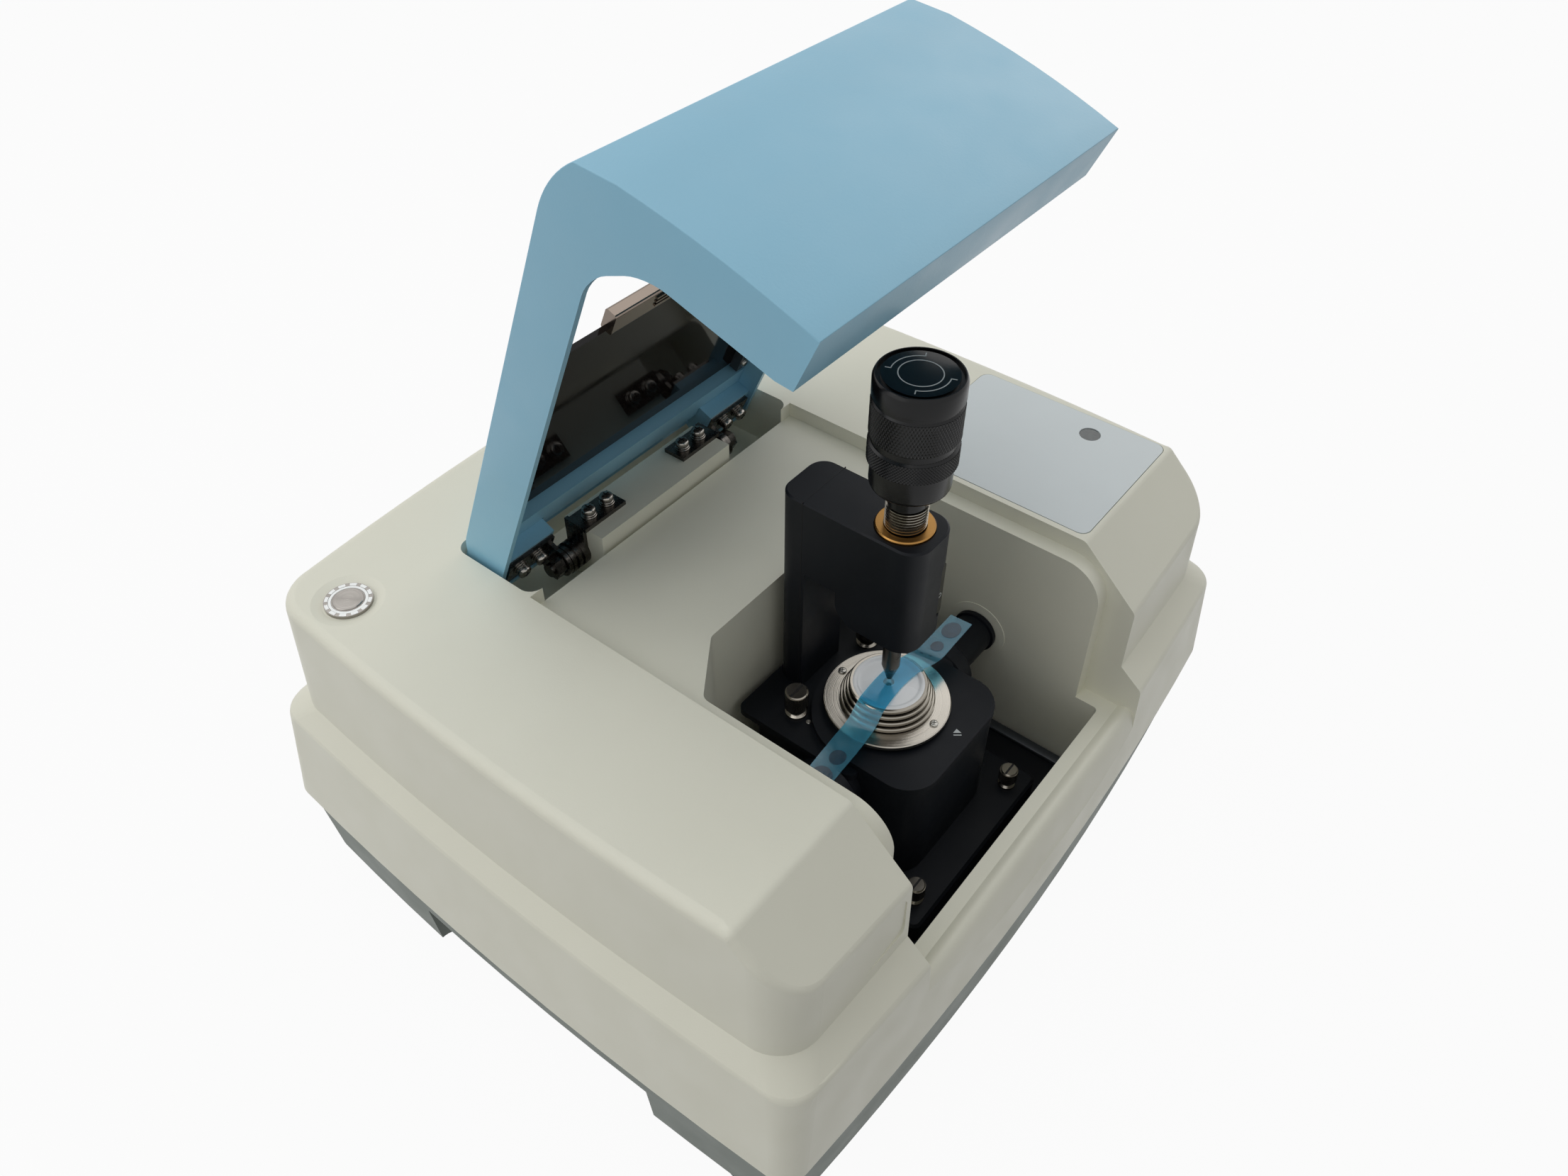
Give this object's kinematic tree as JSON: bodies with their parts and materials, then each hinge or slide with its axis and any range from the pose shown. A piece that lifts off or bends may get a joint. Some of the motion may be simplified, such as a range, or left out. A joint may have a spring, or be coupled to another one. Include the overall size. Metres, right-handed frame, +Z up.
{
  "type": "infrared spectrometer",
  "caption": "Benchtop infrared spectrometer with a raised hinged lid, sliding smoked window and a screw-press single-bounce sampling accessory.",
  "frame": {"origin": "on the table, under the middle of the housing", "axes": "+X to the instrument's right seen from its front, +Y to its back, +Z up"},
  "size_m": [0.467, 0.4011, 0.4821],
  "materials": {
    "cover_cream": "fine moulded texture",
    "lid_blue": "satin, fine moulded texture",
    "base_green": "satin",
    "foot_rubber": "matte",
    "bench_metal": "machined",
    "floor_black": "matte black",
    "optic_glass": "polished",
    "sheet_steel": "satin",
    "board_green": "solder mask",
    "black_plastic": "moulded",
    "port_metal": "plated",
    "plate_silver": "fine satin",
    "card_paper": "printed",
    "cartridge_white": "moulded",
    "button_steel": "turned",
    "ring_light": "translucent",
    "hinge_steel": "zinc plated",
    "rail_grey": "satin grey",
    "window_smoke": "polished smoked sheet",
    "grip_chrome": "bright",
    "anodised_black": "black anodised, bead blasted",
    "turned_steel": "turned",
    "disc_white": "smooth fluoropolymer",
    "bush_brass": "turned",
    "film_blue": "glossy film"
  },
  "bodies": {
    "housing": {"base_shell": "base_green", "rubber_feet": "foot_rubber", "top_cover": "cover_cream", "optical_bench": "bench_metal", "compartment_floor": "floor_black", "interferometer_block": "bench_metal", "beamsplitter": "optic_glass", "ir_source": "bench_metal", "laser_module": "bench_metal", "detector": "bench_metal", "power_supply": "sheet_steel", "main_board": "board_green", "rear_panel": "sheet_steel", "power_inlet": "black_plastic", "switch_bezel": "black_plastic", "data_port": "port_metal", "desiccant_cover": "plate_silver", "humidity_card": "card_paper", "indicator_window": "optic_glass", "desiccant_cartridges": "cartridge_white", "button_bezel": "button_steel", "button_ring": "ring_light", "button_nut": "black_plastic", "beam_windows": "optic_glass", "hinge_brackets": "hinge_steel", "bracket_screws": "hinge_steel", "hinge_shafts": "hinge_steel", "hinge_washers": "hinge_steel", "accessory_base": "anodised_black", "accessory_pedestal": "anodised_black", "port_tubes": "anodised_black", "crystal_plate": "anodised_black", "ring_plate": "turned_steel", "threaded_collar": "turned_steel", "sealing_disc": "disc_white", "crystal": "turned_steel", "press_arm": "anodised_black", "force_indicator": "turned_steel", "bronze_bush": "bush_brass", "protective_film": "film_blue"},
    "button": {"button_cap": "button_steel"},
    "mirror_carriage": {"moving_mirror": "bench_metal"},
    "rocker": {"switch_rocker": "black_plastic"},
    "lid": {"lid_shell": "lid_blue", "lid_crossbar": "lid_blue", "window_rails": "rail_grey", "hinge_leaves": "hinge_steel", "leaf_screws": "hinge_steel"},
    "window": {"window_panel": "window_smoke", "window_handle": "grip_chrome"},
    "tip": {"pressure_tip": "turned_steel"},
    "knob": {"press_spindle": "turned_steel", "clamp_knob": "anodised_black", "knob_cap": "anodised_black"},
    "base_screw_left": {"base_thumbscrew_left": "turned_steel"},
    "base_screw_right": {"base_thumbscrew_right": "turned_steel"},
    "shelf_screw_left": {"shelf_thumbscrew_left": "turned_steel"},
    "shelf_screw_right": {"shelf_thumbscrew_right": "turned_steel"}
  },
  "joints": [
    {"name": "lid_hinge", "type": "hinge", "parent": "housing", "child": "lid", "pos_m": [-0.0125, 0.087, 0.21], "axis": [1, 0, 0], "range_deg": [0, 22]},
    {"name": "window_slide", "type": "slide", "parent": "lid", "child": "window", "axis": [0, -0.4067, 0.9135], "range_m": [0, 0.083]},
    {"name": "power_press", "type": "slide", "parent": "housing", "child": "button", "axis": [0, 0, -1], "range_m": [0, 0.0015], "stiffness_N_per_m": 600},
    {"name": "mirror_scan", "type": "slide", "parent": "housing", "child": "mirror_carriage", "axis": [0, 1, 0], "range_m": [-0.008, 0.012]},
    {"name": "rocker_tip", "type": "hinge", "parent": "housing", "child": "rocker", "pos_m": [0.03, 0.188, 0.105], "axis": [1, 0, 0], "range_deg": [-7, 7]},
    {"name": "knob_turn", "type": "hinge", "parent": "tip", "child": "knob", "pos_m": [-0.0125, -0.0904, 0.3], "axis": [0, 0, 1], "range_deg": [-239, 719]},
    {"name": "clamp_slide", "type": "slide", "parent": "housing", "child": "tip", "axis": [0, 0, 1], "range_m": [-0.002, 0.006]},
    {"name": "base_screw_left_turn", "type": "hinge", "parent": "housing", "child": "base_screw_left", "pos_m": [-0.0625, -0.15, 0.08], "axis": [0, 0, 1], "continuous": true},
    {"name": "base_screw_right_turn", "type": "hinge", "parent": "housing", "child": "base_screw_right", "pos_m": [0.0375, -0.15, 0.08], "axis": [0, 0, 1], "continuous": true},
    {"name": "shelf_screw_left_turn", "type": "hinge", "parent": "housing", "child": "shelf_screw_left", "pos_m": [-0.0465, -0.053, 0.155], "axis": [0, 0, 1], "continuous": true},
    {"name": "shelf_screw_right_turn", "type": "hinge", "parent": "housing", "child": "shelf_screw_right", "pos_m": [0.0215, -0.053, 0.155], "axis": [0, 0, 1], "continuous": true}
  ],
  "couplings": [
    {"joint": "clamp_slide", "follows": "knob_turn", "m_per_rad": 0.00047746}
  ]
}
